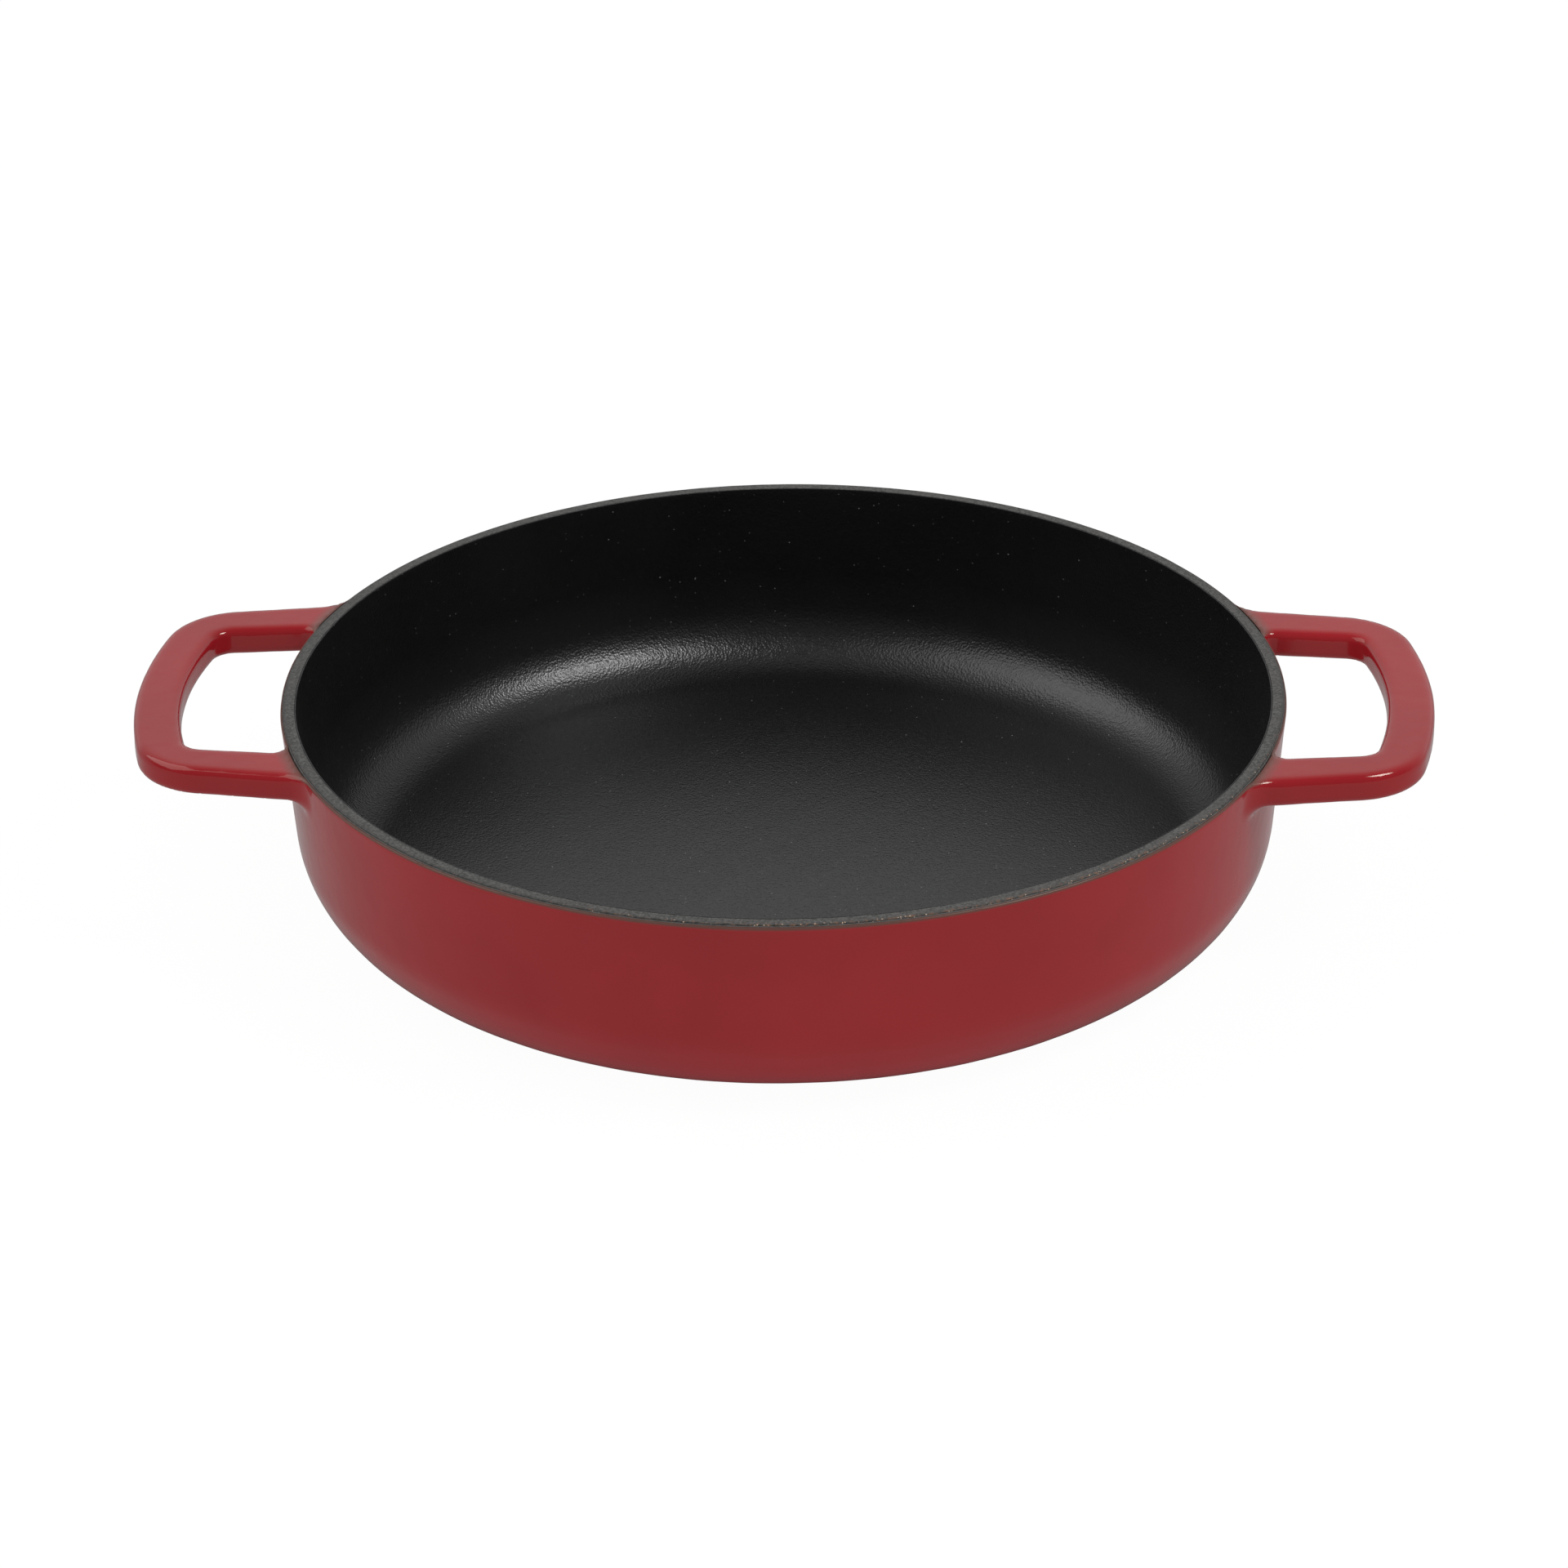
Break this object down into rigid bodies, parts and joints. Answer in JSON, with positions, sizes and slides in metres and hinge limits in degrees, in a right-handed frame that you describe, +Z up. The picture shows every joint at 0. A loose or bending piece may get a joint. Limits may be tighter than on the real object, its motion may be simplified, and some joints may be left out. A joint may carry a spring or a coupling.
{
  "type": "two-handled cast iron pan",
  "caption": "Round shallow enamelled cast iron pan with a cast loop handle at each side, for frying, baking and serving.",
  "frame": {"origin": "centre of the flat underside, on the surface that the pan stands on", "axes": "+Z up out of the cavity, +X through one loop handle, +Y across the pan"},
  "size_m": [0.3638, 0.2816, 0.06],
  "materials": {
    "iron": "as cast, fully covered by enamel",
    "red_enamel": "gloss vitreous enamel",
    "black_enamel": "matt, finely pebbled vitreous enamel",
    "ground_coat": "matt grainy ground coat"
  },
  "bodies": {
    "root": {"pan_casting": "iron", "exterior_enamel": "red_enamel", "interior_enamel": "black_enamel", "rim_ground_coat": "ground_coat"}
  },
  "joints": []
}
